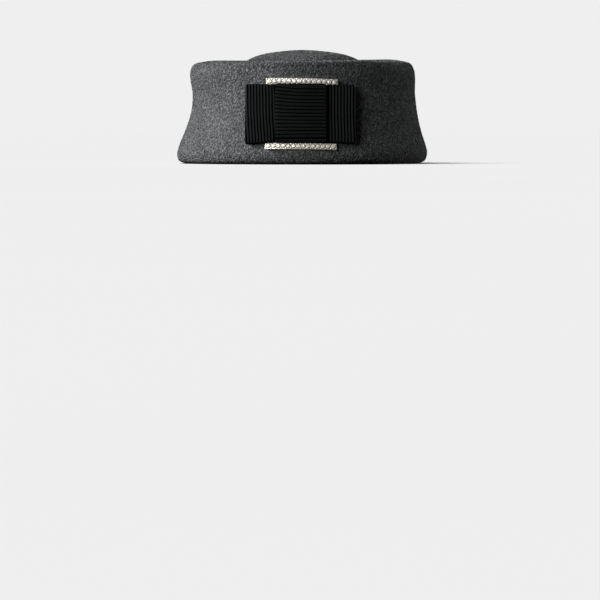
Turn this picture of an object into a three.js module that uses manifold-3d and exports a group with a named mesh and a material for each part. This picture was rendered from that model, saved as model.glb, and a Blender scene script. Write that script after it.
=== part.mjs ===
// Felt pillbox hat with a flat ribbon bow between two bars of clear stones.
// Millimetres, +Z up. The hat stands on its hem at z = 0, the bow is at the back (-Y), and the
// head's long way is along Y. The origin is the middle of the whole object's footprint.

import * as THREE from 'three';
import Module from 'manifold-3d';
import { mergeVertices } from 'three/addons/utils/BufferGeometryUtils.js';

const wasm = await Module();
wasm.setup();

// Felt
const FELT = 2.6; // thickness of the felt
const HEAD_LENGTHENING = 12; // the hat is this much longer than wide, on each side
const OVAL_FROM = 94; // half width from which the lengthening is full
const ROUND_STEPS = 60; // faces round the hat
const AXIS_FORWARD = 1.8; // the bow stands out at the back, so the hat's axis is this far forward

// The felt's outer line, from the middle of the tip to the cut edge of the hem.
// half: half width at the sides; height: above the surface it stands on; out, inside: the
// number of faces to the next row on the outer and on the inner skin.
const FELT_LINE = [
  { place: 'tip', half: 0, height: 96.2, out: 1, inside: 1 },
  { place: 'tip dome', half: 15, height: 95.2, out: 1, inside: 1 },
  { place: 'tip edge', half: 36, height: 91.9, out: 2, inside: 1 },
  { place: 'shoulder', half: 47.5, height: 87.1, out: 2, inside: 1 },
  { place: 'gutter inside', half: 53, height: 81.6, out: 1, inside: 1 },
  { place: 'gutter floor', half: 59, height: 79.2, out: 1, inside: 1 },
  { place: 'gutter outside', half: 65.5, height: 82.6, out: 2, inside: 1 },
  { place: 'crest', half: 73, height: 86.9, out: 2, inside: 1 },
  { place: 'rim top', half: 85, height: 86.1, out: 2, inside: 1 },
  { place: 'rim corner', half: 91.8, height: 84.0, out: 2, inside: 1 },
  { place: 'rim side', half: 94.7, height: 78.6, out: 1, inside: 1 },
  { place: 'under the rim', half: 95.1, height: 72, out: 1, inside: 1 },
  { place: 'waist', half: 94.2, height: 59, out: 2, inside: 1 },
  { place: 'below the waist', half: 95.7, height: 43.5, out: 2, inside: 1 },
  { place: 'flare', half: 100.2, height: 27, out: 1, inside: 1 },
  { place: 'low flare', half: 104.0, height: 16.5, out: 1, inside: 1 },
  { place: 'foot', half: 105.9, height: 8.4, out: 2, inside: 1 },
  { place: 'foot roll', half: 104.1, height: 2.5, out: 2, inside: 1 },
  { place: 'seat outside', half: 98.6, height: 0, out: 1, inside: 1 },
  { place: 'seat inside', half: 93.4, height: 0, out: 2, inside: 1 },
  { place: 'hem roll', half: 88.8, height: 3.4, out: 2, inside: 1 },
  { place: 'hem', half: 87.8, height: 11, out: 1, inside: 1 },
  { place: 'cut edge', half: 87.6, height: 22, out: 1, inside: 1 },
];

// Handmade unevenness of the felt
const WAIST_SKEW = 2.2; // the waist is pulled in this much more at -X than at +X
const WAIST_HEIGHT = 48;
const WAIST_REACH = 26;
const TIP_SHIFT = 1.1; // the tip sits this far to +X of the hat's middle
const RIM_SWAY = 1.4; // the rim sinks this much at the front and the back
const RIM_TILT = 0.5; // and is this much higher at +X
const BOW_DIP = 0.8; // the bow's weight lets the rim sink this much more above it
const BOW_DIP_REACH = 40;
const SWAY_HEIGHTS = [45, 85]; // the sinking starts and is full at these heights
const SWAY_HALVES = [50, 70]; // and at these half widths: inside them the tip keeps its height

// The rim's corner is pressed sharper at the back and the front, where it is pushed out and up
const PRESS = 1.9; // this far each way
const PRESS_MIDDLE = { half: 92, height: 83.3 };
const PRESS_REACH = 5;
const PRESS_FROM = [0.55, 0.9]; // share of the way round from the sides where it starts and is full

// Ribbon
const RIBBON = 0.9; // thickness of the ribbon
const RIB_PITCH = 3.0;
const RIB_DEPTH = 0.35;
const FOLD_STEPS = 6; // faces round a fold

// Bow: a flat loop that follows the felt round the back
const BOW_MIDDLE = -1.3; // X of the bow's middle
const BOW_HALF = 42.8;
const BOW_LEFT = { low: 17.5, high: 65.0 }; // heights of the ribbon's edges at the -X end
const BOW_RIGHT = { low: 18.1, high: 64.4 };
const BOW_FLARE = 0.004; // the loops spread this share of their length at the lower edge
const BOW_DROOP = 1.2; // and that edge is this much lower at their ends
const BOW_BACK = 2.2; // from the felt to the middle of the back layer, at the knot
const BOW_FRONT = 4.25; // and of the front layer
const BOW_END_BACK = 1.3; // the same at the loops' ends
const BOW_END_FRONT = 4.7;
const BOW_BULGE = 0.5; // the loops swell this much between the knot and their ends
const BOW_PINCH = 0.072; // share of its width that the knot pinches in at each edge
const BOW_LEAN = THREE.MathUtils.degToRad(11); // lean of the bow's middle
const BOW_BACK_STEPS = 16;

// Knot band round the bow's middle
const KNOT_HALF = 19.2;
const KNOT_LOW = 17.8;
const KNOT_HIGH = 65.1;
const KNOT_BACK = 0.85; // from the felt to the middle of its back layer, and of its front
const KNOT_FRONT = 5.75;
const KNOT_CLEAR = 1.5; // the loops leave this much room beside it
const KNOT_COLUMNS = 5;
const KNOT_BACK_STEPS = 2;

// Bars
const BAR_HALF = 28.6;
const BAR_TALL = 4.9;
const BAR_DEEP = 2.5;
const BAR_FLOOR = 0.6;
const BAR_RAIL = 0.4;
const BAR_END = 0.9;
const BAR_STEPS = 14;
const BAR_SEAT = 0.4; // clearance to the felt
// middle: X of the bar's middle; arch: rise of its middle over its ends; tilt: rise for each mm to +X
const BARS = [
  { name: 'upper', middle: 0.2, height: 68.2, arch: 0.45, tilt: -0.02 },
  { name: 'lower', middle: -0.7, height: 14.1, arch: 0.3, tilt: -0.012 },
];

// Stones
const STONES = 14;
const STONE_PITCH = 3.96;
const STONE_ACROSS = 3.7;
const STONE_SIDES = 8;
const STONE_TABLE = 0.58; // table width as a share of the stone's width
const STONE_HEIGHTS = { culet: 1.0, girdleLow: 2.2, girdleHigh: 2.6, table: 3.7 };

const colours = {
  felt: new THREE.MeshStandardMaterial({ color: 0x3f4244, roughness: 0.95, metalness: 0 }),
  ribbon: new THREE.MeshStandardMaterial({ color: 0x0e0e10, roughness: 0.7, metalness: 0 }),
  metal: new THREE.MeshStandardMaterial({ color: 0xc9c6bf, roughness: 0.25, metalness: 1 }),
  crystal: new THREE.MeshStandardMaterial({ color: 0xf1eee8, roughness: 0.05, metalness: 0 }),
};

const smooth = THREE.MathUtils.smoothstep;
const mix = THREE.MathUtils.lerp;
const bell = (distance, reach) => Math.exp(-((distance / reach) ** 2));

// Felt line as a smooth curve through the table's rows
const feltCurve = new THREE.CatmullRomCurve3(
  FELT_LINE.map((row) => new THREE.Vector3(row.half, row.height, 0)),
  false,
  'centripetal',
);

// A point of the felt's skin: share runs from 0 at the tip to 1 at the cut edge.
function feltSkin(share, depth) {
  const at = feltCurve.getPoint(share);
  const along = feltCurve.getTangent(share);
  const half = share === 0 ? 0 : Math.max(at.x + depth * along.y, 0);
  const height = Math.max(at.y, 0) - depth * along.x;
  return new THREE.Vector2(half, height);
}

// The rows of one skin, with as many faces between the table's rows as its column says
function skinRows(column, depth) {
  const spans = FELT_LINE.length - 1;
  const rows = [];
  for (let span = 0; span < spans; span += 1) {
    const faces = FELT_LINE[span][column];
    for (let face = 0; face < faces; face += 1) {
      rows.push(feltSkin((span + face / faces) / spans, depth));
    }
  }
  rows.push(feltSkin(1, depth));
  return rows;
}

// How far the waist leans to +X at a height
function waistLean(height) {
  return WAIST_SKEW * bell(height - WAIST_HEIGHT, WAIST_REACH);
}

// How far the rim sinks at a direction round the hat
function rimSink(angle, half, height) {
  const amount = smooth(height, ...SWAY_HEIGHTS) * smooth(half, ...SWAY_HALVES);
  const acrossBack = half * Math.cos(angle);
  const overBow = Math.sin(angle) < 0 ? BOW_DIP * bell(acrossBack, BOW_DIP_REACH) : 0;
  const sway = RIM_SWAY * Math.sin(angle) ** 2;
  return amount * (sway + overBow - RIM_TILT * Math.cos(angle));
}

// How far the rim's corner is pushed out and up
function rimPress(angle, half, height) {
  const away = Math.hypot(half - PRESS_MIDDLE.half, height - PRESS_MIDDLE.height);
  return PRESS * smooth(Math.abs(Math.sin(angle)), ...PRESS_FROM) * bell(away, PRESS_REACH);
}

// From half width, direction and height to a point of the oval, slightly uneven hat
function hatPoint(lineHalf, angle, lineHeight) {
  const press = rimPress(angle, lineHalf, lineHeight);
  const half = lineHalf + press;
  const height = lineHeight + press;
  const full = Math.min(half / OVAL_FROM, 1);
  const lean = full * waistLean(height) * Math.cos(angle);
  const tipShift = TIP_SHIFT * (1 - smooth(half, ...SWAY_HALVES));
  return new THREE.Vector3(
    (half + lean) * Math.cos(angle) + tipShift,
    (half + lean + HEAD_LENGTHENING * full) * Math.sin(angle),
    height - rimSink(angle, half, height),
  );
}

// Crown: outer skin, cut edge and inner skin turned round the axis, then made oval
function crownGeometry() {
  const outer = skinRows('out', 0);
  const inner = skinRows('inside', FELT).reverse();
  const turned = new THREE.LatheGeometry([...outer, ...inner], ROUND_STEPS);
  const corners = turned.attributes.position;
  for (let i = 0; i < corners.count; i += 1) {
    const half = Math.hypot(corners.getX(i), corners.getZ(i));
    const angle = Math.atan2(corners.getZ(i), corners.getX(i));
    const at = hatPoint(half, angle, corners.getY(i));
    corners.setXYZ(i, at.x, at.y, at.z);
  }
  return turned;
}

// Half width of the felt's side at a height, by halving between the rim corner and the foot
const SIDE_ROWS = {
  top: FELT_LINE.findIndex((row) => row.place === 'rim corner'),
  bottom: FELT_LINE.findIndex((row) => row.place === 'foot roll'),
};
const HALVINGS = 24;
const SLOPE_STEP = 0.5; // mm to each side over which a slope of the felt is measured

function sideHalf(height) {
  const spans = FELT_LINE.length - 1;
  let above = SIDE_ROWS.top / spans;
  let below = SIDE_ROWS.bottom / spans;
  for (let i = 0; i < HALVINGS; i += 1) {
    const middle = (above + below) / 2;
    if (feltCurve.getPoint(middle).y > height) above = middle;
    else below = middle;
  }
  return feltCurve.getPoint(above).x;
}

// Y of the felt's outer side at the back, for a place across it and a height
function backOfFelt(across, height) {
  const angle = -Math.acos(across / OVAL_FROM);
  const unsunk = height + rimSink(angle, OVAL_FROM, height + rimSink(angle, OVAL_FROM, height));
  const half = sideHalf(unsunk);
  const wide = half + (waistLean(unsunk) * across) / half;
  return -(wide + HEAD_LENGTHENING) * Math.sqrt(1 - (across / wide) ** 2);
}

// How fast the back's Y changes across it, and up it
function feltSlope(across, height) {
  const rise = backOfFelt(across + SLOPE_STEP, height) - backOfFelt(across - SLOPE_STEP, height);
  return rise / (2 * SLOPE_STEP);
}

function feltLean(across, height) {
  const rise = backOfFelt(across, height + SLOPE_STEP) - backOfFelt(across, height - SLOPE_STEP);
  return rise / (2 * SLOPE_STEP);
}

// From 0 at the knot's edge to 1 at a loop's end
function loopShare(across) {
  const share = (Math.abs(across) - KNOT_HALF) / (BOW_HALF - KNOT_HALF);
  return THREE.MathUtils.clamp(share, 0, 1);
}

// A point that stands off the line between the felt at two heights, where the bow spans the
// waist: across is from the bow's middle, up runs from 0 to 1, off is out from the felt.
function bowPoint(across, up, off) {
  const end = (across / BOW_HALF + 1) / 2;
  const droop = BOW_DROOP * loopShare(across) ** 2;
  const low = mix(BOW_LEFT.low, BOW_RIGHT.low, end) - droop;
  const high = mix(BOW_LEFT.high, BOW_RIGHT.high, end);
  const x = BOW_MIDDLE + across;
  const foot = new THREE.Vector3(x, backOfFelt(x, low), low);
  const head = new THREE.Vector3(x, backOfFelt(x, high), high);
  const slope = feltSlope(x, low);
  const round = new THREE.Vector3(1, slope, 0);
  const upward = head.clone().sub(foot);
  const out = round.cross(upward).normalize();
  const spread = across * BOW_FLARE * (1 - up);
  return foot.lerp(head, up).addScaledVector(out, off).add(new THREE.Vector3(spread, 0, 0));
}

// A band that closes on itself: pointAt gives its outer and inner skin, station by station
// round the loop and column by column across it.
function bandGeometry(stations, columns, pointAt) {
  const corners = [];
  const faces = [];
  const number = (station, column, skin) =>
    ((station % stations) * (columns + 1) + column) * 2 + skin;
  const quad = (a, b, c, d) => faces.push(a, b, c, a, c, d);
  for (let station = 0; station < stations; station += 1) {
    for (let column = 0; column <= columns; column += 1) {
      corners.push(...pointAt(station, column, 0).toArray());
      corners.push(...pointAt(station, column, 1).toArray());
    }
  }
  for (let s = 0; s < stations; s += 1) {
    for (let c = 0; c < columns; c += 1) {
      quad(number(s, c, 0), number(s + 1, c, 0), number(s + 1, c + 1, 0), number(s, c + 1, 0));
      quad(number(s, c, 1), number(s, c + 1, 1), number(s + 1, c + 1, 1), number(s + 1, c, 1));
    }
    quad(number(s, 0, 0), number(s, 0, 1), number(s + 1, 0, 1), number(s + 1, 0, 0));
    const edge = columns;
    quad(number(s, edge, 0), number(s + 1, edge, 0), number(s + 1, edge, 1), number(s, edge, 1));
  }
  const band = new THREE.BufferGeometry();
  band.setAttribute('position', new THREE.Float32BufferAttribute(corners, 3));
  band.setIndex(faces);
  return band;
}

// The flat loop of a ribbon, seen along its folds: the ribbed front from -half to +half, a
// round fold, the plain back and the other fold. turn is the direction that a station faces.
function ribbonLoop(half, ribs, backSteps) {
  const loop = [];
  const frontSteps = ribs * 2;
  for (let i = 0; i <= frontSteps; i += 1) {
    const ridge = i % 2 === 1 ? RIB_DEPTH : 0;
    loop.push({ along: mix(-half, half, i / frontSteps), turn: Math.PI / 2, ridge });
  }
  for (let i = 1; i < FOLD_STEPS; i += 1) {
    loop.push({ along: half, turn: Math.PI * (0.5 - i / FOLD_STEPS), ridge: 0 });
  }
  for (let i = 0; i <= backSteps; i += 1) {
    loop.push({ along: mix(half, -half, i / backSteps), turn: -Math.PI / 2, ridge: 0 });
  }
  for (let i = 1; i < FOLD_STEPS; i += 1) {
    loop.push({ along: -half, turn: Math.PI * (-0.5 - i / FOLD_STEPS), ridge: 0 });
  }
  return loop;
}

// Where one skin of the loop lies at a station: along the loop, and off the felt
function loopPlace(station, skin, layers) {
  const radius = (layers.front - layers.back) / 2;
  const reach = radius + (skin === 0 ? RIBBON / 2 + station.ridge : -RIBBON / 2);
  return {
    along: station.along + reach * Math.cos(station.turn),
    off: layers.back + radius + reach * Math.sin(station.turn),
  };
}

// The bow's layers part from the knot towards the loops' ends
function bowLayers(along) {
  const share = loopShare(along);
  const swell = BOW_BULGE * Math.sin(share * Math.PI);
  return {
    back: mix(BOW_BACK, BOW_END_BACK, smooth(share, 0, 1)),
    front: mix(BOW_FRONT, BOW_END_FRONT, smooth(share, 0, 1)) + swell,
  };
}

function bowGeometry() {
  const straight = BOW_HALF - (BOW_END_FRONT - BOW_END_BACK) / 2;
  const loop = ribbonLoop(straight, Math.round((2 * straight) / RIB_PITCH), BOW_BACK_STEPS);
  return bandGeometry(loop.length, 1, (station, column, skin) => {
    const place = loopPlace(loop[station], skin, bowLayers(loop[station].along));
    const pinched = Math.abs(loop[station].along) < KNOT_HALF + KNOT_CLEAR ? BOW_PINCH : 0;
    return bowPoint(place.along, mix(pinched, 1 - pinched, column), place.off);
  });
}

function knotGeometry() {
  const fold = (KNOT_FRONT - KNOT_BACK + RIBBON) / 2;
  const straight = (KNOT_HIGH - KNOT_LOW) / 2 / Math.cos(BOW_LEAN) - fold;
  const loop = ribbonLoop(straight, Math.round((2 * straight) / RIB_PITCH), KNOT_BACK_STEPS);
  const middle = ((KNOT_LOW + KNOT_HIGH) / 2 - BOW_LEFT.low) / (BOW_LEFT.high - BOW_LEFT.low);
  const length = (BOW_LEFT.high - BOW_LEFT.low) / Math.cos(BOW_LEAN);
  return bandGeometry(loop.length, KNOT_COLUMNS, (station, column, skin) => {
    const place = loopPlace(loop[station], skin, { back: KNOT_BACK, front: KNOT_FRONT });
    const across = mix(KNOT_HALF, -KNOT_HALF, column / KNOT_COLUMNS);
    return bowPoint(across, middle + place.along / length, place.off);
  });
}

// The frame of a bar at a place across the back: its foot on the felt, and its directions
function barFrame(bar, across) {
  const x = bar.middle + across;
  const height = bar.height + bar.tilt * across + bar.arch * (1 - (across / BAR_HALF) ** 2);
  const round = new THREE.Vector3(1, feltSlope(x, height), 0).normalize();
  const lean = feltLean(x, height);
  const out = round.clone().cross(new THREE.Vector3(0, lean, 1)).normalize();
  const up = out.clone().cross(round);
  return { foot: new THREE.Vector3(x, backOfFelt(x, height), height), round, up, out };
}

// A box bent along a bar: its X runs across the back, Y up the felt and Z out from it
function bentBox(bar, half, tall, from, to) {
  const box = new THREE.BoxGeometry(2 * half, tall, to - from, BAR_STEPS, 1, 1);
  const corners = box.attributes.position;
  for (let i = 0; i < corners.count; i += 1) {
    const frame = barFrame(bar, corners.getX(i));
    const at = frame.foot
      .addScaledVector(frame.up, corners.getY(i))
      .addScaledVector(frame.out, corners.getZ(i) + (from + to) / 2);
    corners.setXYZ(i, at.x, at.y, at.z);
  }
  return box;
}

function toSolid(geometry) {
  geometry.deleteAttribute('normal');
  geometry.deleteAttribute('uv');
  const merged = mergeVertices(geometry);
  return new wasm.Manifold(new wasm.Mesh({
    numProp: 3,
    vertProperties: new Float32Array(merged.attributes.position.array),
    triVerts: new Uint32Array(merged.index.array),
  }));
}

function toGeometry(solid) {
  const mesh = solid.getMesh();
  const geometry = new THREE.BufferGeometry();
  geometry.setAttribute('position', new THREE.BufferAttribute(mesh.vertProperties, 3));
  geometry.setIndex(new THREE.BufferAttribute(mesh.triVerts, 1));
  return geometry;
}

// A channel with a floor, two rails and closed ends
function barGeometry(bar) {
  const top = BAR_SEAT + BAR_DEEP;
  const block = toSolid(bentBox(bar, BAR_HALF, BAR_TALL, BAR_SEAT, top));
  const slotHalf = BAR_HALF - BAR_END;
  const slotTall = BAR_TALL - 2 * BAR_RAIL;
  const slot = toSolid(bentBox(bar, slotHalf, slotTall, BAR_SEAT + BAR_FLOOR, top + BAR_DEEP));
  return toGeometry(block.subtract(slot));
}

// A cut stone: a point below, a girdle, and a crown of facets up to the table. The table is
// turned by half a side, so the crown is sixteen triangles.
function stoneGeometry() {
  const girdle = STONE_ACROSS / 2 / Math.cos(Math.PI / STONE_SIDES);
  const table = girdle * STONE_TABLE;
  const line = [
    new THREE.Vector2(0, STONE_HEIGHTS.culet),
    new THREE.Vector2(girdle, STONE_HEIGHTS.girdleLow),
    new THREE.Vector2(girdle, STONE_HEIGHTS.girdleHigh),
    new THREE.Vector2(table, STONE_HEIGHTS.table),
    new THREE.Vector2(0, STONE_HEIGHTS.table),
  ];
  const stone = new THREE.LatheGeometry(line, STONE_SIDES);
  const corners = stone.attributes.position;
  const halfSide = Math.PI / STONE_SIDES;
  for (let i = 0; i < corners.count; i += 1) {
    const reach = Math.hypot(corners.getX(i), corners.getZ(i));
    const onTable = corners.getY(i) > STONE_HEIGHTS.girdleHigh;
    const turn = Math.atan2(corners.getX(i), corners.getZ(i)) + (onTable ? 2 : 1) * halfSide;
    corners.setX(i, reach * Math.sin(turn));
    corners.setZ(i, reach * Math.cos(turn));
  }
  stone.rotateX(Math.PI / 2);
  return stone;
}

const hat = new THREE.Group();
hat.name = 'felt_hat';
hat.position.y = AXIS_FORWARD;

function addPiece(name, geometry, material) {
  const piece = new THREE.Mesh(geometry, material);
  piece.name = name;
  hat.add(piece);
  return piece;
}

addPiece('crown', crownGeometry(), colours.felt);
addPiece('bow', bowGeometry(), colours.ribbon);
addPiece('knot_band', knotGeometry(), colours.ribbon);

const stone = stoneGeometry();
for (const bar of BARS) {
  addPiece(`${bar.name}_bar`, barGeometry(bar), colours.metal);
  for (let i = 0; i < STONES; i += 1) {
    const number = String(i + 1).padStart(2, '0');
    const frame = barFrame(bar, (i - (STONES - 1) / 2) * STONE_PITCH);
    const piece = addPiece(`${bar.name}_stone_${number}`, stone, colours.crystal);
    piece.position.copy(frame.foot).addScaledVector(frame.out, BAR_SEAT);
    const axes = new THREE.Matrix4().makeBasis(frame.round, frame.up, frame.out);
    piece.quaternion.setFromRotationMatrix(axes);
  }
}

export default hat;
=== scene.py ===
import math

import bpy
import numpy as np
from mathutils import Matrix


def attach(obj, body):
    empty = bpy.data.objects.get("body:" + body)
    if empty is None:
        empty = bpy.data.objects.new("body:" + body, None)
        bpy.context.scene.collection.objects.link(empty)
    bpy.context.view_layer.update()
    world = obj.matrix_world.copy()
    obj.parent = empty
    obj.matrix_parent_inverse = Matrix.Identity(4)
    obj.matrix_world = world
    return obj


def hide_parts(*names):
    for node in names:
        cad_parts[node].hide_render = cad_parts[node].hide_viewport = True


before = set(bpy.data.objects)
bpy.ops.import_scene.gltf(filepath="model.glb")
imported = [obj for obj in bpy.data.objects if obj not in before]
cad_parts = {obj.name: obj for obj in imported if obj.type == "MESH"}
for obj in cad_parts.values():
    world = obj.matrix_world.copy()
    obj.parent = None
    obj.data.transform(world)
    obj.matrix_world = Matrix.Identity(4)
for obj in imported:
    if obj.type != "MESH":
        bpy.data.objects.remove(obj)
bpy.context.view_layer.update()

MM = 0.001
SEED = 27

# Felt: the same line and unevenness as the solid crown has
FELT = 2.6
HEAD_LENGTHENING = 12.0  # the hat is longer than wide by this much at the back, and at the front
OVAL_FROM = 94.0  # fully so from this half width on
AXIS_FORWARD = 1.8  # Y of the hat's axis
FELT_LINE = [  # place, half width, height
    ("tip", 0.0, 96.2),
    ("tip dome", 15.0, 95.2),
    ("tip edge", 36.0, 91.9),
    ("shoulder", 47.5, 87.1),
    ("gutter inside", 53.0, 81.6),
    ("gutter floor", 59.0, 79.2),
    ("gutter outside", 65.5, 82.6),
    ("crest", 73.0, 86.9),
    ("rim top", 85.0, 86.1),
    ("rim corner", 91.8, 84.0),
    ("rim side", 94.7, 78.6),
    ("under the rim", 95.1, 72.0),
    ("waist", 94.2, 59.0),
    ("below the waist", 95.7, 43.5),
    ("flare", 100.2, 27.0),
    ("low flare", 104.0, 16.5),
    ("foot", 105.9, 8.4),
    ("foot roll", 104.1, 2.5),
    ("seat outside", 98.6, 0.0),
    ("seat inside", 93.4, 0.0),
    ("hem roll", 88.8, 3.4),
    ("hem", 87.8, 11.0),
    ("cut edge", 87.6, 22.0),
]
WAIST_SKEW = 2.2  # the waist is wider towards +X and narrower towards -X by this much
WAIST_HEIGHT = 48.0
WAIST_REACH = 26.0
TIP_SHIFT = 1.1  # the tip lies this far towards +X
RIM_SWAY = 1.4  # the rim is lower at the back and the front
RIM_TILT = 0.5  # and lower towards -X
SWAY_HEIGHTS = (45.0, 85.0)
SWAY_HALVES = (50.0, 70.0)
PRESS = 1.9  # the rim's corner is pressed out and up by this much at the back and the front
PRESS_MIDDLE = (92.0, 83.3)
PRESS_REACH = 5.0
PRESS_FROM = (0.55, 0.9)
SLOPE_STEP = 0.5  # slopes of the felt are measured over this much to either side

# Fineness and unevenness of the felt's mesh
ROUND_STEPS = 336
OUTER_STEP = 1.3
INNER_STEP = 3.2
LINE_STEPS = 40  # for each span of the felt's line, where it is measured
EDGE_STEPS = 4
EDGE_ROUND = 0.45  # the cut edge stands out by this much in its middle
LUMP = 0.12  # hand-blocked unevenness of the surface
LUMP_WAVES = [  # size, waves round the hat, shift with the height, start
    (1.0, 3, 0.05, 1.0),
    (0.8, 5, -0.09, 2.3),
    (0.6, 9, 0.13, 0.7),
    (0.5, 14, -0.2, 4.1),
]
LUMP_HEIGHTS = (3.0, 14.0)  # it grows from nothing to full between these
LUMP_HALVES = (20.0, 60.0)

# Painted highlight and painted shade on the felt
PAINTED_HIGHLIGHT_ABOVE = 2.4  # a painted highlight lightens the rim's corner this far above its middle
PAINTED_HIGHLIGHT_REACH = 1.9
PAINTED_HIGHLIGHT_FROM = (0.88, 0.97)  # at the back and the front, between these sines of the direction
PAINTED_HIGHLIGHT_TURN = (0.05, 0.3)  # and fully only where the direction points this far to -X
PAINTED_HIGHLIGHT_ELSEWHERE = 0.39
PAINTED_HIGHLIGHT_TONE = 2.41
SHADED_BELOW = 1.8  # painted shade darkens the felt this far below the corner
SHADED_REACH = 2.2
SHADED_TONE = 0.74
TIP_SHADED = (91.5, 86.5)  # painted shade darkens the tip's side towards the gutter, on its -X side
TIP_SHADED_TURN = (0.1, 0.6)
TIP_SHADED_HALVES = (50.0, 60.0)
TIP_SHADED_TONE = 0.45
FAR_BELOW = 100.0  # stands for places that the corner's painted highlight and painted shade don't reach

# Wool fibres
LIGHT_FIBRES = (32000, 0.13)  # number, width
DARK_FIBRES = (24000, 0.17)
FIBRE_PARTS = 3
FIBRE_FLOOR = 1.2  # no fibre starts lower than this
FIBRE_TIP_GAP = 0.3  # or comes nearer to the middle of the tip
FIBRE_LONGEST = 2.6
FIBRE_SHORTEST = 0.45  # share of the longest
FIBRE_BEND = 0.5
FIBRE_TWIST = 0.5
FIBRE_THIN_ENDS = 0.5
FIBRE_ROOT = -0.06  # where a fibre starts, and mostly ends, in the felt
FIBRE_LIFTS = [(0.05, 0.18), (0.06, 0.22)]  # range of its two middle points off the felt
FREE_ENDS = 0.3  # share of the fibres with an end that stands up
FREE_LIFT = (0.1, 0.6)

# Ribbon and bow
BOW_PITCH = 2.375
RIGHT_STRETCH = 0.037  # the right loop's ribs are wider by this share
KNOT_PITCH = 2.95
RIB_DEPTH = 1.0
RIB_ROOT = 0.45  # the valleys between the ribs lie this far below the ribbon's plain face
RIBBON = 0.8
RIB_STEPS = 16
RIB_SQUARES = {"bow": 3.6, "knot_band": 6.0}  # the higher, the flatter the ribs between the valleys
BOW_PAINTED_SHEEN = 1.32  # how light the silk is painted for each ribbon: a painted sheen, lighter on the bow's loops than on the knot
KNOT_PAINTED_SHEEN = 0.82
WARP_PITCH = 0.42
WEFT_PITCH = 0.30
PLAIN_SIDE = 0.3  # the ribbon's edges and inside are coloured as if at this height of a rib, which gives them the valleys' painted-shade black
RIBBON_WIDTH = 50.0
EDGE_ROLL = 0.9  # the ribs fall away over this much at the ribbon's edges
EDGE_PLACE = 0.35  # the rounded edge's corners, as a share of half the thickness
EDGE_STAND = 0.12  # the edge stands out by this much, and by the scallop more at each rib
EDGE_SCALLOP = 0.22
LEFT_RIBS = (-0.92, 1.9)  # shift of the left loop's ribs, and how far they run aside over the width
RIGHT_RIBS = (-0.70, 0.45)
RIB_WAVE = 0.18  # the ribs wave by this much over the ribbon's width
RIB_WAVE_TURN = 2.35 * math.pi
GAP_DIP = 1.1  # the ribbon dips under the knot's +X edge
GAP_AT = 21.0
GAP_REACH = 1.2
KNOT_RISE = 2.0  # the knot's ribs climb by this much at its -X edge, most at the top
KNOT_RISE_FROM = 0.45  # from this place over the knot's width to its -X edge
KNOT_RISE_POWER = 1.6
BOW_MIDDLE = -1.3
BOW_HALF = 42.8
BOW_LEFT = (17.5, 65.0)  # heights of the bow's two edges at its -X end
BOW_RIGHT = (18.1, 64.4)  # and at its +X end
BOW_FLARE = 0.004  # the loops widen by this share towards the bottom
BOW_DROOP = 1.2  # and their lower edge hangs by this much at the ends
BOW_BACK = 2.2  # how far the two layers lie off the felt at the knot
BOW_FRONT = 4.25
BOW_END_BACK = 1.3  # and at the ends
BOW_END_FRONT = 4.7
BOW_BULGE = 0.5
BOW_PINCH = 0.072  # share of the bow's width that the knot draws in at each edge
PINCH_EASES = (0.4, 2.1)  # the pinch ends over this distance from the knot's edge
BOW_LEAN = math.radians(11)
BOW_COLUMNS = 18
KNOT_HALF = 19.2
KNOT_RISE_SHARES = [  # place along the knot from its middle to its top fold, share of the rise
    (-KNOT_HALF, -0.14),
    (KNOT_HALF, 1.0),
    (21.2, 0.75),
]
KNOT_LOW = 17.8
KNOT_HIGH = 65.1
KNOT_BACK = 0.85
KNOT_FRONT = 5.75
KNOT_SHORT = 0.45  # its folds start this much before its ends
KNOT_COLUMNS = 28
KNOT_WIDER = 0.8  # the front layer reaches this much further at the +X edge
KNOT_LEAP = 0.6  # its folds bulge towards the bars, the more the further in front

# Bars and stones
BAR_HALF = 28.6
BAR_TALL = 4.9
BAR_DEEP = 2.5
BAR_SEAT = 0.4
BARS = {  # middle, height, arch, tilt
    "upper": (0.2, 68.2, 0.45, -0.02),
    "lower": (-0.7, 14.1, 0.3, -0.012),
}
STONES = 14
STONE_PITCH = 3.96
CLAW = 0.75

# Camera and studio
CAMERA_AWAY = 3.5
CAMERA_UP = 0.030
PIXEL = 0.00085  # size of a pixel of the picture at the hat's axis
PICTURE = 600
HAT_AXIS_PX = 301.7  # where the hat's axis and its foot lie in the picture, from the left and the top
BASE_PX = 163.4
SENSOR = 36.0
FLOOR = 40.0
FLOOR_SEEN = 0.93
FLOOR_MOTTLE = 0.01
FLOOR_BOUNCE = 0.08
ROOM_SEEN = 0.863
ROOM_LIGHT = 0.037
SUNS = [  # name, degrees round the hat, degrees up, strength, softness in degrees, what it lights
    ("side_light", -90.0, 24.0, 8.0, 12.0, "not_floor"),
    ("front_light", -40.0, 20.0, 3.35, 30.0, "not_floor"),
    ("right_light", 120.0, 5.0, 1.45, 12.0, "not_floor"),
    ("back_light", 150.0, 40.0, 0.7, 12.0, "not_floor"),
    ("ribbon_light", 80.0, 10.0, 5.3, 30.0, "ribbons_alone"),
    ("floor_light", -60.0, 60.0, 3.2, 50.0, "floor_alone"),
]


def smooth(x, low, high):
    t = np.clip((x - low) / (high - low), 0.0, 1.0)
    return t * t * (3.0 - 2.0 * t)


def bell(distance, reach):
    return np.exp(-((distance / reach) ** 2))


# Felt line: a centripetal Catmull-Rom curve through the rows
LINE = np.array([row[1:] for row in FELT_LINE])
SPANS = len(LINE) - 1


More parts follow.
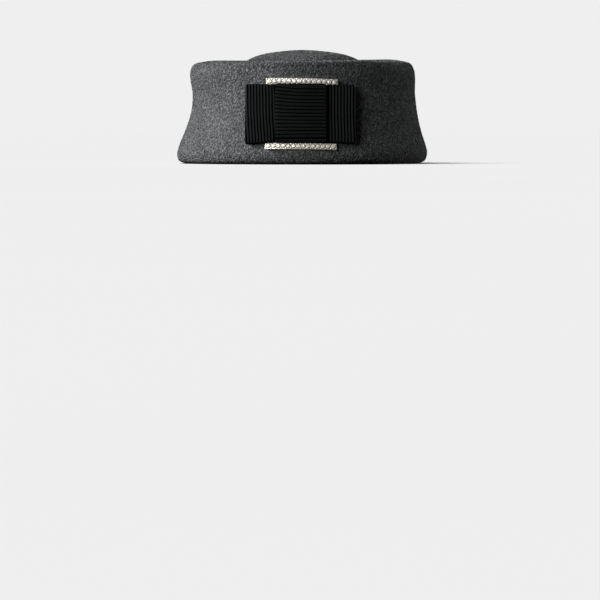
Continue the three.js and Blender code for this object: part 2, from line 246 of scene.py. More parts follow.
def felt_line(share):
    """Points and unit directions of the outer line; share runs from 0 at the tip to 1."""
    knots = np.vstack([2 * LINE[0] - LINE[1], LINE, 2 * LINE[-1] - LINE[-2]])
    gaps = np.linalg.norm(np.diff(knots, axis=0), axis=1) ** 0.5
    place = np.clip(share, 0.0, 1.0) * SPANS
    span = np.minimum(place.astype(int), SPANS - 1)
    t = (place - span)[:, None]
    p0, p1, p2, p3 = (knots[span + k] for k in range(4))
    d0, d1, d2 = (gaps[span + k][:, None] for k in range(3))
    m1 = ((p1 - p0) / d0 - (p2 - p0) / (d0 + d1) + (p2 - p1) / d1) * d1
    m2 = ((p2 - p1) / d1 - (p3 - p1) / (d1 + d2) + (p3 - p2) / d2) * d1
    a = 2 * p1 - 2 * p2 + m1 + m2
    b = -3 * p1 + 3 * p2 - 2 * m1 - m2
    points = ((a * t + b) * t + m1) * t + p1
    along = (3 * a * t + 2 * b) * t + m1
    return points, along / np.linalg.norm(along, axis=1)[:, None]


FINE_SHARES = np.linspace(0.0, 1.0, SPANS * LINE_STEPS + 1)
FINE_LINE, _ = felt_line(FINE_SHARES)
FINE_RUN = np.concatenate([[0.0], np.cumsum(np.linalg.norm(np.diff(FINE_LINE, axis=0), axis=1))])


def felt_skin(share, depth):
    """Half widths and heights of the felt's skin at a depth below its outer side."""
    points, along = felt_line(share)
    half = np.maximum(points[:, 0] + depth * along[:, 1], 0.0)
    half[share <= 0] = 0.0
    return half, np.maximum(points[:, 1], 0.0) - depth * along[:, 0]


def even_shares(step):
    """Shares of the line about one step apart."""
    length = FINE_RUN[-1]
    return np.interp(np.linspace(0.0, length, int(length / step) + 1), FINE_RUN, FINE_SHARES)


def waist_lean(height):
    return WAIST_SKEW * bell(height - WAIST_HEIGHT, WAIST_REACH)


def rim_sink(angle, half, height):
    amount = smooth(height, *SWAY_HEIGHTS) * smooth(half, *SWAY_HALVES)
    return amount * (RIM_SWAY * np.sin(angle) ** 2 - RIM_TILT * np.cos(angle))


def rim_press(angle, half, height):
    """How far the rim's corner is pushed out and up, at the back and the front."""
    away = np.hypot(half - PRESS_MIDDLE[0], height - PRESS_MIDDLE[1])
    return PRESS * smooth(np.abs(np.sin(angle)), *PRESS_FROM) * bell(away, PRESS_REACH)


def hat_point(half, angle, height):
    """From half width, direction and height to a point of the oval, slightly uneven hat."""
    press = rim_press(angle, half, height)
    half, height = half + press, height + press
    full = np.minimum(half / OVAL_FROM, 1.0)
    wide = half + full * waist_lean(height) * np.cos(angle)
    x = wide * np.cos(angle) + TIP_SHIFT * (1.0 - smooth(half, *SWAY_HALVES))
    y = (wide + HEAD_LENGTHENING * full) * np.sin(angle)
    return np.stack([x, y, height - rim_sink(angle, half, height)], axis=-1)


PLACES = [row[0] for row in FELT_LINE]
FOOT_SHARE = PLACES.index("foot roll") / SPANS
SIDE_SHARES = np.linspace(PLACES.index("rim corner") / SPANS, FOOT_SHARE, 400)
SIDE_POINTS, _ = felt_line(SIDE_SHARES)


def side_half(height):
    return np.interp(height, SIDE_POINTS[::-1, 1], SIDE_POINTS[::-1, 0])


def back_of_felt(across, height):
    """Y of the felt's outer side at the back."""
    angle = -np.arccos(across / OVAL_FROM)
    unsunk = height + rim_sink(angle, OVAL_FROM, height + rim_sink(angle, OVAL_FROM, height))
    half = side_half(unsunk)
    wide = half + waist_lean(unsunk) * across / half
    return -(wide + HEAD_LENGTHENING) * np.sqrt(1.0 - (across / wide) ** 2)


def slope_round(across, height):
    """How fast Y of the felt's back changes along X."""
    left, right = (back_of_felt(across + step, height) for step in (-SLOPE_STEP, SLOPE_STEP))
    return (right - left) / (2 * SLOPE_STEP)


def unit(v):
    return v / np.linalg.norm(v, axis=-1, keepdims=True)


def loop_share(across):
    """From 0 at the knot's edge to 1 at a loop's end."""
    return np.clip((np.abs(across) - KNOT_HALF) / (BOW_HALF - KNOT_HALF), 0.0, 1.0)


def bow_point(across, up, off):
    """A point off the line that the bow spans between the felt at its two edges."""
    across, up, off = np.broadcast_arrays(across, up, off)
    end = (across / BOW_HALF + 1.0) / 2.0
    low = BOW_LEFT[0] + (BOW_RIGHT[0] - BOW_LEFT[0]) * end - BOW_DROOP * loop_share(across) ** 2
    high = BOW_LEFT[1] + (BOW_RIGHT[1] - BOW_LEFT[1]) * end
    x = BOW_MIDDLE + across
    foot = np.stack([x, back_of_felt(x, low), low], axis=-1)
    head = np.stack([x, back_of_felt(x, high), high], axis=-1)
    slope = slope_round(x, low)
    round_back = np.stack([np.ones_like(slope), slope, np.zeros_like(slope)], axis=-1)
    out = unit(np.cross(round_back, head - foot))
    spot = foot + (head - foot) * up[..., None] + out * off[..., None]
    spot[..., 0] += across * BOW_FLARE * (1.0 - up)
    return spot


def bar_frame(bar, across):
    """Foot on the felt and the directions up and out at places across a bar."""
    middle, height, arch, tilt = BARS[bar]
    x = middle + across
    z = height + tilt * across + arch * (1.0 - (across / BAR_HALF) ** 2)
    slope = slope_round(x, z)
    lean = (back_of_felt(x, z + SLOPE_STEP) - back_of_felt(x, z - SLOPE_STEP)) / (2 * SLOPE_STEP)
    nought = np.zeros_like(slope)
    round_back = unit(np.stack([nought + 1.0, slope, nought], axis=-1))
    out = unit(np.cross(round_back, np.stack([nought, lean, nought + 1.0], axis=-1)))
    return np.stack([x, back_of_felt(x, z), z], axis=-1), np.cross(out, round_back), out


# Making meshes
def make_piece(name, points, faces, material):
    mesh = bpy.data.meshes.new(name)
    placed = np.asarray(points, float) + (0.0, AXIS_FORWARD, 0.0)
    mesh.from_pydata((placed * MM).tolist(), [], [tuple(int(i) for i in face) for face in faces])
    mesh.validate()
    mesh.polygons.foreach_set("use_smooth", [True] * len(mesh.polygons))
    mesh.materials.append(material)
    piece = bpy.data.objects.new(name, mesh)
    bpy.context.scene.collection.objects.link(piece)
    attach(piece, "root")
    return piece


def ring_faces(rows, columns, closed=False):
    """Quads between rings of points, a ring to each row; closed joins the last ring to the first."""
    last_row = rows if closed else rows - 1
    r, c = np.meshgrid(np.arange(last_row), np.arange(columns), indexing="ij")
    r2, c2 = (r + 1) % rows, (c + 1) % columns
    quads = np.stack([r * columns + c, r2 * columns + c, r2 * columns + c2, r * columns + c2], -1)
    return quads.reshape(-1, 4)


def store_vectors(piece, name, values):
    """Keeps a vector for each vertex, which the piece's material reads."""
    layer = piece.data.attributes.new(name, "FLOAT_VECTOR", "POINT")
    layer.data.foreach_set("vector", np.asarray(values, float).ravel())


# Materials
class Nodes:
    """Short names for making a node tree."""

    def __init__(self, name):
        self.material = bpy.data.materials.new(name)
        self.material.use_nodes = True
        self.tree = self.material.node_tree
        self.shader = self.tree.nodes["Principled BSDF"]

    def add(self, kind, **settings):
        node = self.tree.nodes.new("ShaderNode" + kind)
        for key, value in settings.items():
            setattr(node, key, value)
        return node

    def link(self, source, target):
        self.tree.links.new(source, target)

    def noise(self, where, scale, detail=2.0, roughness=0.5):
        node = self.add("TexNoise")
        self.link(where, node.inputs["Vector"])
        node.inputs["Scale"].default_value = scale
        node.inputs["Detail"].default_value = detail
        node.inputs["Roughness"].default_value = roughness
        return node.outputs["Fac"]

    def math(self, operation, a, b=None):
        node = self.add("Math", operation=operation)
        for socket, value in zip(node.inputs, (a, b)):
            if value is None:
                continue
            if isinstance(value, (int, float)):
                socket.default_value = value
            else:
                self.link(value, socket)
        return node.outputs[0]

    def ramp(self, factor, stops):
        node = self.add("ValToRGB")
        ramp = node.color_ramp
        while len(ramp.elements) < len(stops):
            ramp.elements.new(0.5)
        for element, (place, colour) in zip(ramp.elements, stops):
            element.position = place
            element.color = (*colour, 1.0)
        self.link(factor, node.inputs["Fac"])
        return node.outputs["Color"]

    def map_range(self, value, low, high, to_low=0.0, to_high=1.0):
        node = self.add("MapRange")
        self.link(value, node.inputs["Value"])
        limits = {"From Min": low, "From Max": high, "To Min": to_low, "To Max": to_high}
        for key, number in limits.items():
            node.inputs[key].default_value = number
        return node.outputs["Result"]

    def shade(self, colour, factor, tone):
        """The colour, multiplied by the tone as far as the factor says."""
        return self.mix(factor, colour, (tone,) * 3, "MULTIPLY")

    def mix(self, factor, a, b, blend_type="MIX"):
        node = self.add("Mix", data_type="RGBA", blend_type=blend_type)
        for key, value in ((0, factor), (6, a), (7, b)):
            if isinstance(value, (int, float)):
                node.inputs[key].default_value = value
            elif isinstance(value, tuple):
                node.inputs[key].default_value = (*value, 1.0)
            else:
                self.link(value, node.inputs[key])
        return node.outputs[2]

    def bump(self, height, distance, strength=1.0):
        node = self.add("Bump")
        self.link(height, node.inputs["Height"])
        node.inputs["Distance"].default_value = distance
        node.inputs["Strength"].default_value = strength
        self.link(node.outputs["Normal"], self.shader.inputs["Normal"])


def felt_material():
    n = Nodes("felt")
    where = n.add("TexCoord").outputs["Object"]
    cloud = n.noise(where, 45.0, 2.0)
    mottle = n.noise(where, 560.0, 3.0, 0.65)
    grain = n.noise(where, 1250.0, 3.0, 0.7)
    tone = n.math("ADD", n.math("MULTIPLY", mottle, 0.72), n.math("MULTIPLY", grain, 0.28))
    tone = n.math("ADD", tone, n.math("MULTIPLY", n.math("SUBTRACT", cloud, 0.5), 0.08))
    colour = n.ramp(tone, [
        (0.36, (0.019, 0.019, 0.020)),
        (0.46, (0.040, 0.041, 0.042)),
        (0.54, (0.061, 0.063, 0.064)),
        (0.64, (0.125, 0.129, 0.130)),
    ])
    # painted light: X is a painted highlight along the rim's corner, Y painted shade below it, Z
    # painted shade on the tip's side by the gutter
    wear_and_painted_light = n.add("SeparateXYZ")
    n.link(n.add("Attribute", attribute_name="wear_and_painted_light").outputs["Vector"], wear_and_painted_light.inputs["Vector"])
    colour = n.shade(colour, wear_and_painted_light.outputs["X"], PAINTED_HIGHLIGHT_TONE)
    colour = n.shade(colour, wear_and_painted_light.outputs["Y"], SHADED_TONE)
    colour = n.shade(colour, wear_and_painted_light.outputs["Z"], TIP_SHADED_TONE)
    n.link(colour, n.shader.inputs["Base Color"])
    n.shader.inputs["Roughness"].default_value = 0.95
    n.shader.inputs["Specular IOR Level"].default_value = 0.05
    fuzz = n.noise(where, 1900.0, 2.0, 0.7)
    relief = n.math("ADD", n.math("MULTIPLY", grain, 0.12), n.math("MULTIPLY", fuzz, 0.08))
    n.bump(n.math("ADD", relief, n.noise(where, 640.0, 0.4)), 0.0016)
    return n.material


def ribbon_material(name, shade):
    """Black grosgrain: silky yarns lie along the ribbon over the ribs, and the valleys are painted
    near black, a painted shade.
    """
    n = Nodes(name)
    weave = n.add("Attribute", attribute_name="weave").outputs["Vector"]
    axes = n.add("SeparateXYZ")
    n.link(weave, axes.inputs["Vector"])
    along, over, rib = axes.outputs["X"], axes.outputs["Y"], axes.outputs["Z"]
    warp = n.math("SINE", n.math("MULTIPLY", over, 2 * math.pi / WARP_PITCH))
    weft = n.math("SINE", n.math("MULTIPLY", along, 2 * math.pi / WEFT_PITCH))
    slub = n.noise(weave, 1.3, 3.0, 0.6)
    fade = n.noise(weave, 0.12, 2.0)
    tone = n.math("ADD", n.math("MULTIPLY", slub, 0.7), n.math("MULTIPLY", fade, 0.3))
    # the silk's colour is scaled for each ribbon: painted sheen
    silk = n.shade(n.ramp(tone, [
        (0.30, (0.0039, 0.0043, 0.0043)),
        (0.55, (0.0065, 0.0070, 0.0071)),
        (0.75, (0.0100, 0.0107, 0.0107)),
    ]), 1.0, shade)
    # painted shade: off the ridges' tops the colour falls to near black, for the valleys' shadow
    ridge = n.map_range(rib, 0.90, 0.98)
    n.link(n.mix(ridge, (0.0004, 0.0004, 0.0005), silk), n.shader.inputs["Base Color"])
    n.link(n.map_range(slub, 0.3, 0.7, 0.45, 0.65), n.shader.inputs["Roughness"])
    n.shader.inputs["Specular IOR Level"].default_value = 0.0
    relief = n.math("ADD", n.math("MULTIPLY", warp, 0.5), n.math("MULTIPLY", weft, 0.15))
    relief = n.math("ADD", relief, n.math("MULTIPLY", slub, 0.8))
    n.bump(relief, 0.00005, 0.8)
    return n.material


def metal_material():
    n = Nodes("bar_metal")
    where = n.add("TexCoord").outputs["Object"]
    wear_and_painted_light = n.noise(where, 700.0, 4.0, 0.6)
    colour = n.ramp(wear_and_painted_light, [(0.35, (0.60, 0.57, 0.50)), (0.6, (0.80, 0.77, 0.70))])
    n.link(colour, n.shader.inputs["Base Color"])
    n.shader.inputs["Metallic"].default_value = 0.45
    n.link(n.map_range(wear_and_painted_light, 0.3, 0.7, 0.2, 0.38), n.shader.inputs["Roughness"])
    n.bump(wear_and_painted_light, 0.00004, 0.4)
    return n.material


def crystal_material():
    """Clear cut glass with a silvered back, drawn opaque: its whitish colour is painted reflection
    that stands in for the glass's shine from every side, and the facets' lighter and darker tones are
    painted glints.
    """
    n = Nodes("crystal")
    where = n.add("TexCoord").outputs["Object"]
    cloud = n.noise(where, 500.0, 1.0)
    facets = n.add("TexVoronoi")
    n.link(where, facets.inputs["Vector"])
    facets.inputs["Scale"].default_value = 850.0
    # painted reflection: a whitish colour, lighter or darker from facet to facet, for the glass's
    # shine and glints
    colour = n.ramp(facets.outputs["Color"], [(0.2, (0.58, 0.54, 0.46)), (0.5, (0.81, 0.77, 0.70))])
    n.link(colour, n.shader.inputs["Base Color"])
    n.bump(facets.outputs["Distance"], 0.0004)
    n.shader.inputs["Metallic"].default_value = 0.25
    n.link(n.map_range(cloud, 0.3, 0.7, 0.10, 0.20), n.shader.inputs["Roughness"])
    n.shader.inputs["IOR"].default_value = 1.6
    n.shader.inputs["Coat Weight"].default_value = 0.35
    n.shader.inputs["Coat Roughness"].default_value = 0.02
    return n.material


def fibre_material(name, low, high):
    """Wool fibres of one shade, a little lighter or darker from place to place."""
    n = Nodes(name)
    where = n.add("TexCoord").outputs["Object"]
    shade = n.noise(where, 420.0, 1.0)
    n.link(n.ramp(shade, [(0.35, low), (0.65, high)]), n.shader.inputs["Base Color"])
    n.shader.inputs["Roughness"].default_value = 0.8
    n.shader.inputs["Specular IOR Level"].default_value = 0.1
    n.bump(n.noise(where, 6000.0, 1.0), 0.00002, 0.5)
    return n.material


felt = felt_material()
bow_silk_painted_sheen = ribbon_material("bow_silk_painted_sheen", BOW_PAINTED_SHEEN)
knot_silk_painted_sheen = ribbon_material("knot_silk_painted_sheen", KNOT_PAINTED_SHEEN)
bar_metal = metal_material()
crystal = crystal_material()
light_wool = fibre_material("light_wool", (0.10, 0.105, 0.108), (0.26, 0.27, 0.27))
dark_wool = fibre_material("dark_wool", (0.004, 0.004, 0.005), (0.014, 0.015, 0.018))


# Crown
def lumps(half, angle, height):
    """Slight waves of a felt that was pulled over a block by hand."""
    waves = sum(
        size * np.sin(times * angle + shift * height + start)
        for size, times, shift, start in LUMP_WAVES
    )
    return LUMP * waves * smooth(height, *LUMP_HEIGHTS) * smooth(half, *LUMP_HALVES)


def felt_painted_light(half, height, angle, outer):
    """For each point of the rings: how far it gets a painted highlight at the rim's corner, painted
    shade below the rim, and painted shade by the gutter.

    The first of the rows, as many as outer says, lie on the outer side.
    """
    corner = np.argmin(np.hypot(half - PRESS_MIDDLE[0], height - PRESS_MIDDLE[1])[:outer])
    run = np.cumsum(np.hypot(np.gradient(half), np.gradient(height)))
    below = np.full(len(half), FAR_BELOW)
    below[:outer] = (run - run[corner])[:outer]
    pressed = smooth(np.abs(np.sin(angle)), *PAINTED_HIGHLIGHT_FROM)
    # the painted highlight is strongest where the felt faces -X
    highlight_side = PAINTED_HIGHLIGHT_ELSEWHERE + (1.0 - PAINTED_HIGHLIGHT_ELSEWHERE) * smooth(-np.cos(angle), *PAINTED_HIGHLIGHT_TURN)
    painted_highlight = bell(below + PAINTED_HIGHLIGHT_ABOVE, PAINTED_HIGHLIGHT_REACH)[:, None] * pressed * highlight_side
    # painted shade in a band below the rim's corner
    shaded = bell(below - SHADED_BELOW, SHADED_REACH)[:, None] * (0.5 + 0.5 * pressed)
    # painted shade on the tip's side towards the gutter
    gutter_shade = smooth(height, *TIP_SHADED) * (1.0 - smooth(half, *TIP_SHADED_HALVES))
    gutter_shade[outer:] = 0.0
    gutter_shade = gutter_shade[:, None] * smooth(-np.cos(angle), *TIP_SHADED_TURN)
    return np.stack([painted_highlight, shaded, gutter_shade], axis=-1).reshape(-1, 3)


def make_crown():
    outer_half, outer_height = felt_skin(even_shares(OUTER_STEP), 0.0)
    inner_half, inner_height = felt_skin(even_shares(INNER_STEP)[::-1], FELT)
    edge = np.linspace(0.0, 1.0, EDGE_STEPS + 2)[1:-1]
    edge_half = outer_half[-1] + (inner_half[0] - outer_half[-1]) * edge
    edge_height = outer_height[-1] + EDGE_ROUND * np.sin(edge * math.pi)
    half = np.concatenate([outer_half[1:], edge_half, inner_half[:-1]])
    height = np.concatenate([outer_height[1:], edge_height, inner_height[:-1]])
    angle = np.linspace(0.0, 2 * math.pi, ROUND_STEPS, endpoint=False)
    half2, angle2 = np.meshgrid(half, angle, indexing="ij")
    height2 = np.broadcast_to(height[:, None], half2.shape)
    swell = lumps(half2, angle2, height2)
    outer = len(outer_half) - 1
    swell[outer:] = 0.0
    rings = hat_point(half2 + swell, angle2, height2)
    tips = hat_point(np.zeros(2), np.zeros(2), np.array([outer_height[0], inner_height[-1]]))
    points = np.concatenate([rings.reshape(-1, 3), tips])
    rows = len(half)
    faces = [tuple(f) for f in ring_faces(rows, ROUND_STEPS)]
    top, under = rows * ROUND_STEPS, rows * ROUND_STEPS + 1
    last = (rows - 1) * ROUND_STEPS
    for i in range(ROUND_STEPS):
        after = (i + 1) % ROUND_STEPS
        faces.append((top, i, after))
        faces.append((under, last + after, last + i))
    crown = make_piece("crown_felt", points, faces, felt)
    # the felt's painted highlight and painted shade, read by its material
    wear_and_painted_light = felt_painted_light(half, height, angle, outer)
    store_vectors(crown, "wear_and_painted_light", np.concatenate([wear_and_painted_light, np.zeros((2, 3))]))
    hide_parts("crown")


make_crown()


# Wool fibres on the felt's outer side
FUZZY = (FINE_LINE[:, 1] > FIBRE_FLOOR) & (FINE_SHARES < FOOT_SHARE)


def skin_point(run, angle, off):
    """A point off the felt's outer side, from the run along its line and the direction round it."""
    half, height = felt_skin(np.interp(run, FINE_RUN, FINE_SHARES), -off)
    return hat_point(half + lumps(half, angle, height), angle, height)


def make_fibres(name, material, count, width, seed):
    """Short curved fibres that lie on the felt, some with an end that stands up."""
    rng = np.random.default_rng(seed)
    area = np.cumsum(np.where(FUZZY, FINE_LINE[:, 0], 0.0) * np.gradient(FINE_RUN))
    run = np.interp(rng.random(count) * area[-1], area, FINE_RUN)
    angle = rng.random(count) * 2 * math.pi
    turn = rng.random(count) * 2 * math.pi
    bend = rng.normal(0.0, FIBRE_BEND, count)
    step = FIBRE_LONGEST * rng.uniform(FIBRE_SHORTEST, 1.0, count) / FIBRE_PARTS
    twist = rng.random(count) * math.pi
    is_free = rng.random(count) < FREE_ENDS
    last_lift = np.where(is_free, rng.uniform(*FREE_LIFT, count), FIBRE_ROOT)
    middle_lifts = [rng.uniform(*between, count) for between in FIBRE_LIFTS]
    lifts = [np.full(count, FIBRE_ROOT), *middle_lifts, last_lift]
    sides = []
    for part in range(FIBRE_PARTS + 1):
        wide = width * (FIBRE_THIN_ENDS if part in (0, FIBRE_PARTS) else 1.0) / 2
        across, up = wide * np.cos(twist), wide * np.sin(twist)
        reach = np.interp(run, FINE_RUN, FINE_LINE[:, 0]) + HEAD_LENGTHENING / 2
        for side in (-1.0, 1.0):
            there = run - side * across * np.sin(turn)
            round_it = angle + side * across * np.cos(turn) / reach
            sides.append(skin_point(there, round_it, lifts[part] + side * up))
        run = np.maximum(run + step * np.cos(turn), FIBRE_TIP_GAP)
        angle = angle + step * np.sin(turn) / reach
        turn = turn + bend
        twist = twist + FIBRE_TWIST
    points = np.stack(sides, axis=1).reshape(-1, 3)
    corners = 2 * (FIBRE_PARTS + 1)
    quads = np.array([(2 * i, 2 * i + 1, 2 * i + 3, 2 * i + 2) for i in range(FIBRE_PARTS)])
    faces = (np.arange(count)[:, None, None] * corners + quads).reshape(-1, 4)
    make_piece(name, points, faces, material)


make_fibres("crown_light_fibres", light_wool, *LIGHT_FIBRES, SEED)
make_fibres("crown_dark_fibres", dark_wool, *DARK_FIBRES, SEED + 1)


# Ribbon loops
def rib_profile(run, pitch, square):
    """Ribs with narrow valleys, from 0 in a valley to 1 on a ridge."""
    place = np.mod(run / pitch, 1.0)
    return np.sqrt(np.clip(1.0 - np.abs(2.0 * place - 1.0) ** square, 0.0, 1.0))


def ribbon_loop(straight, radius, pitch):
    """Stations round a flat loop: place along it, the way it faces, and the run so far."""
    lengths = [2 * straight, math.pi * radius, 2 * straight, math.pi * radius]
    total = sum(lengths)
    ribs = int(round(total / pitch))
    count = ribs * RIB_STEPS
    run = np.arange(count) * (total / count)
    starts = np.concatenate([[0.0], np.cumsum(lengths)])
    side = np.searchsorted(starts, run, side="right") - 1
    into = (run - starts[side]) / np.array(lengths)[side]
    along = np.choose(side, [
        -straight + 2 * straight * into, straight + 0 * into,
        straight - 2 * straight * into, -straight + 0 * into,
    ])
    turn = np.choose(side, [
        0.5 + 0 * into, 0.5 - into, -0.5 + 0 * into, -0.5 - into,
    ]) * math.pi
    return along, turn, run, total / ribs


def make_ribbon(name, node, silk, loop, columns, place, slant, hollow):
    """A ribbon loop with ribs outside, a plain inside and rounded, scalloped edges."""
    along, turn, run, pitch = loop
    stations = len(run)
    over = np.linspace(0.0, 1.0, columns + 1)
    edge = 0.5 * RIBBON
    section = [(o, 1.0, 0.0) for o in over]
    section += [(1.0, EDGE_PLACE, 1.0), (1.0, -EDGE_PLACE, 1.0)]
    section += [(o, -1.0, 0.0) for o in over[::-1]]
    section += [(0.0, -EDGE_PLACE, -1.0), (0.0, EDGE_PLACE, -1.0)]
    skins, weaves = [], []
    for o, skin, beyond in section:
        rib = rib_profile(run + slant(along, o), pitch, RIB_SQUARES[node])
        fall = min(min(o, 1.0 - o) * RIBBON_WIDTH / EDGE_ROLL, 1.0) ** 0.5
        rib = rib * (1.0 - hollow(along, turn))
        ribbed = (RIB_DEPTH * rib - RIB_ROOT) * fall if skin == 1.0 else 0.0 * rib
        past = beyond * (EDGE_STAND + EDGE_SCALLOP * rib)
        skins.append(place(along, turn, edge * skin + ribbed, o, past))
        height = rib if skin == 1.0 else np.full(stations, PLAIN_SIDE)
        weaves.append(np.stack([run, np.full(stations, o * RIBBON_WIDTH), height], -1))
    points = np.stack(skins, axis=1).reshape(-1, 3)
    faces = ring_faces(stations, len(section), closed=True)
    piece = make_piece(name, points, faces, silk)
    store_vectors(piece, "weave", np.stack(weaves, axis=1).reshape(-1, 3))
    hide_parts(node)
    return piece


def bow_layers(along):
    share = loop_share(along)
    part = smooth(share, 0.0, 1.0)
    back = BOW_BACK + (BOW_END_BACK - BOW_BACK) * part
    front = BOW_FRONT + (BOW_END_FRONT - BOW_FRONT) * part + BOW_BULGE * np.sin(share * math.pi)
    return back, front - GAP_DIP * bell(along - GAP_AT, GAP_REACH)


def bow_hollow(along, turn):
    """Where the bow's ribs are pressed flat, from 0 to 1: in the dip at the knot's edge, which is
    painted near black as painted shade.
    """
    return bell(along - GAP_AT, GAP_REACH) * np.clip(np.sin(turn), 0.0, 1.0)


def no_hollow(along, turn):
    return 0.0 * along


BOW_LENGTH = (BOW_LEFT[1] - BOW_LEFT[0]) / math.cos(BOW_LEAN)


def place_bow(along, turn, rise, over, past):
    back, front = bow_layers(along)
    radius = (front - back) / 2 + rise
    across = along + radius * np.cos(turn)
    off = (back + front) / 2 + radius * np.sin(turn)
    pinch = BOW_PINCH * (1.0 - smooth(np.abs(along) - KNOT_HALF, *PINCH_EASES))
    up = pinch + (1.0 - 2.0 * pinch) * over + past / BOW_LENGTH
    return bow_point(across, up, off)


def place_knot(along, turn, rise, over, past):
    radius = (KNOT_FRONT - KNOT_BACK) / 2 + rise
    middle = ((KNOT_LOW + KNOT_HIGH) / 2 - BOW_LEFT[0]) / (BOW_LEFT[1] - BOW_LEFT[0])
    leap = 1.0 + KNOT_LEAP * np.clip(np.sin(turn), 0.0, 1.0)
    up = middle + (along + radius * np.cos(turn) * leap) / BOW_LENGTH
    off = (KNOT_FRONT + KNOT_BACK) / 2 + radius * np.sin(turn)
    wider = KNOT_WIDER * (1.0 - over) * np.clip(np.sin(turn), 0.0, 1.0)
    across = KNOT_HALF * (1.0 - 2.0 * over) + wider - past
    return bow_point(across, up, off)


def loop_slant(along, over):
    """How far aside the ribs of the loops run at a place over the ribbon."""
    shift, slant = (
        np.interp(along, [-KNOT_HALF, KNOT_HALF], pair) for pair in zip(LEFT_RIBS, RIGHT_RIBS)
    )
    wave = RIB_WAVE * math.cos(RIB_WAVE_TURN * (over - 0.5))
    return shift + slant * (over - 0.5) + wave - RIGHT_STRETCH * np.maximum(along, 0.0)


def knot_rise(along, over):
    """How far the knot's ribs climb towards its -X edge: most at the top, least at the bottom."""
    near_edge = np.clip((over - KNOT_RISE_FROM) / (1.0 - KNOT_RISE_FROM), 0.0, 1.0)
    share = np.interp(along, *zip(*KNOT_RISE_SHARES))
    return -KNOT_RISE * near_edge ** KNOT_RISE_POWER * share


def make_bow():
    radius = (BOW_END_FRONT - BOW_END_BACK) / 2
    loop = ribbon_loop(BOW_HALF - radius, radius, BOW_PITCH)
    return make_ribbon(
        "bow_ribbon", "bow", bow_silk_painted_sheen, loop, BOW_COLUMNS,
        place_bow, loop_slant, bow_hollow,
    )


def make_knot():
    radius = (KNOT_FRONT - KNOT_BACK) / 2
    straight = (KNOT_HIGH - KNOT_LOW) / 2 / math.cos(BOW_LEAN) - radius - KNOT_SHORT
    loop = ribbon_loop(straight, radius, KNOT_PITCH)
    return make_ribbon(
        "knot_ribbon", "knot_band", knot_silk_painted_sheen, loop, KNOT_COLUMNS,
        place_knot, knot_rise, no_hollow,
    )


bow_ribbon = make_bow()
knot_ribbon = make_knot()


# Bars and stones keep their solids
for name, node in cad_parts.items():
    if name.endswith("_bar"):
        node.data.materials.clear()
        node.data.materials.append(bar_metal)
    elif "_stone_" in name:
        node.data.materials.clear()
        node.data.materials.append(crystal)


# Small claws that hold the stones, at both rails between each two of them
def ball(radius, sides=8, rings=5):
    """Points and faces of a small round bead."""
    points = []
    for ring in range(1, rings):
        for side in range(sides):
            turn = 2 * math.pi * side / sides
            fall = math.pi * ring / rings
            reach = math.sin(fall)
            points.append((reach * math.cos(turn), reach * math.sin(turn), math.cos(fall)))
    points += [(0.0, 0.0, 1.0), (0.0, 0.0, -1.0)]
    faces = [list(face) for face in ring_faces(rings - 1, sides)]
    top, under = len(points) - 2, len(points) - 1
    last = (rings - 2) * sides
    for side in range(sides):
        after = (side + 1) % sides
        faces += [[top, side, after], [under, last + after, last + side]]
    return np.array(points) * radius, faces


def make_claws(bar):
    across = (np.arange(STONES + 1) - STONES / 2) * STONE_PITCH
    across = np.clip(across, -BAR_HALF + CLAW, BAR_HALF - CLAW)
    foot, up, out = bar_frame(bar, across)
    bead, bead_faces = ball(CLAW)
    points, faces = [], []
    for side in (-1.0, 1.0):
        centres = foot + up * side * (BAR_TALL / 2 - CLAW) + out * (BAR_SEAT + BAR_DEEP)
        for centre in centres:
            start = len(points) * len(bead)
            faces += [[corner + start for corner in face] for face in bead_faces]
            points.append(centre + bead)
    make_piece(bar + "_claws", np.concatenate(points), faces, bar_metal)


for bar in BARS:
    make_claws(bar)


# Studio
def make_floor():
    """A pale floor. It gives the hat less light back than the camera sees, as a small floor would."""
    mesh = bpy.data.meshes.new("floor")
    corners = [(-FLOOR, -FLOOR), (FLOOR, -FLOOR), (FLOOR, FLOOR), (-FLOOR, FLOOR)]
    mesh.from_pydata([(x, y, 0.0) for x, y in corners], [], [(0, 1, 2, 3)])
    n = Nodes("floor")
    where = n.add("TexCoord").outputs["Object"]
    tones = [(0.3, (FLOOR_SEEN,) * 3), (0.7, (FLOOR_SEEN + FLOOR_MOTTLE,) * 3)]
    seen = n.ramp(n.noise(where, 2.0), tones)
    is_seen = n.add("LightPath").outputs["Is Camera Ray"]
    colour = n.mix(is_seen, (FLOOR_BOUNCE,) * 3, seen)
    n.link(colour, n.shader.inputs["Base Color"])
    n.shader.inputs["Roughness"].default_value = 1.0
    n.shader.inputs["Specular IOR Level"].default_value = 0.0
    mesh.materials.append(n.material)
    floor = bpy.data.objects.new("floor", mesh)
    bpy.context.scene.collection.objects.link(floor)
    return floor


def add_sun(name, azimuth, elevation, strength, softness, receivers):
    light = bpy.data.lights.new(name, "SUN")
    light.energy = strength
    light.angle = math.radians(softness)
    lamp = bpy.data.objects.new(name, light)
    lamp.rotation_euler = (math.radians(90 - elevation), 0.0, math.radians(azimuth))
    lamp.light_linking.receiver_collection = receivers
    bpy.context.scene.collection.objects.link(lamp)


def lit_things(name, pieces, state):
    """A collection that says what a lamp lights alone, or what it leaves out."""
    things = bpy.data.collections.new(name)
    for piece in pieces:
        things.objects.link(piece)
    for entry in things.collection_objects:
        entry.light_linking.link_state = state
    return things


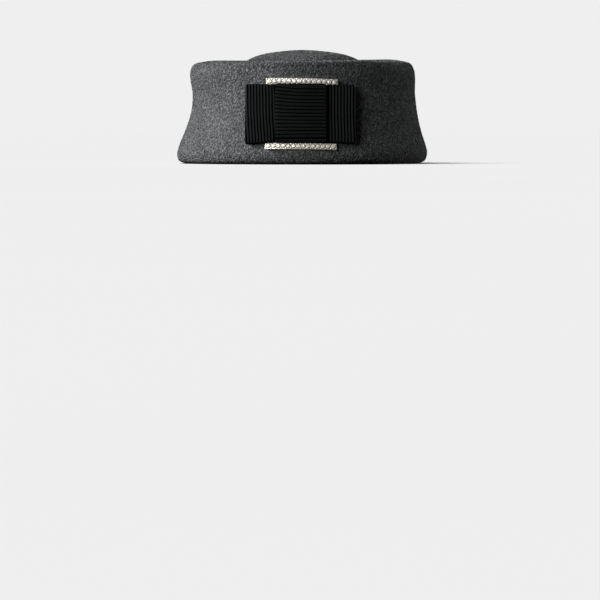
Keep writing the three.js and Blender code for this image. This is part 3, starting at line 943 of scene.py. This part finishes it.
def make_world(seen, light):
    """A pale backdrop for the camera, and a dim even light from all round for the hat."""
    world = bpy.data.worlds.new("studio")
    world.use_nodes = True
    tree = world.node_tree
    tree.nodes.clear()
    paths = tree.nodes.new("ShaderNodeLightPath")
    backdrop = tree.nodes.new("ShaderNodeBackground")
    backdrop.inputs["Color"].default_value = (seen, seen, seen, 1.0)
    room = tree.nodes.new("ShaderNodeBackground")
    room.inputs["Color"].default_value = (light, light, light, 1.0)
    both = tree.nodes.new("ShaderNodeMixShader")
    out = tree.nodes.new("ShaderNodeOutputWorld")
    tree.links.new(paths.outputs["Is Camera Ray"], both.inputs[0])
    tree.links.new(room.outputs[0], both.inputs[1])
    tree.links.new(backdrop.outputs[0], both.inputs[2])
    tree.links.new(both.outputs[0], out.inputs["Surface"])
    bpy.context.scene.world = world


def make_camera():
    """From behind, at the photograph's angle, with the hat at the photograph's place and size."""
    data = bpy.data.cameras.new("camera")
    data.sensor_width = SENSOR
    data.lens = SENSOR * CAMERA_AWAY / (PICTURE * PIXEL)
    data.clip_end = 200.0
    camera = bpy.data.objects.new("camera", data)
    sideways = (PICTURE / 2 - HAT_AXIS_PX) * PIXEL
    camera.location = (sideways, AXIS_FORWARD * MM - CAMERA_AWAY, CAMERA_UP)
    base_down = math.atan2(CAMERA_UP, CAMERA_AWAY)
    centre_down = base_down + math.atan2((PICTURE / 2 - BASE_PX) * PIXEL, CAMERA_AWAY)
    camera.rotation_euler = (math.pi / 2 - centre_down, 0.0, 0.0)
    bpy.context.scene.collection.objects.link(camera)
    bpy.context.scene.camera = camera


stage_floor = make_floor()
lit = {
    "floor_alone": lit_things("floor_alone", [stage_floor], "INCLUDE"),
    "not_floor": lit_things("not_floor", [stage_floor], "EXCLUDE"),
    "ribbons_alone": lit_things("ribbons_alone", [bow_ribbon, knot_ribbon], "INCLUDE"),
}
make_world(ROOM_SEEN, ROOM_LIGHT)
for name, azimuth, elevation, strength, softness, receivers in SUNS:
    add_sun(name, azimuth, elevation, strength, softness, lit[receivers])
make_camera()
bpy.context.scene.view_settings.view_transform = "Standard"
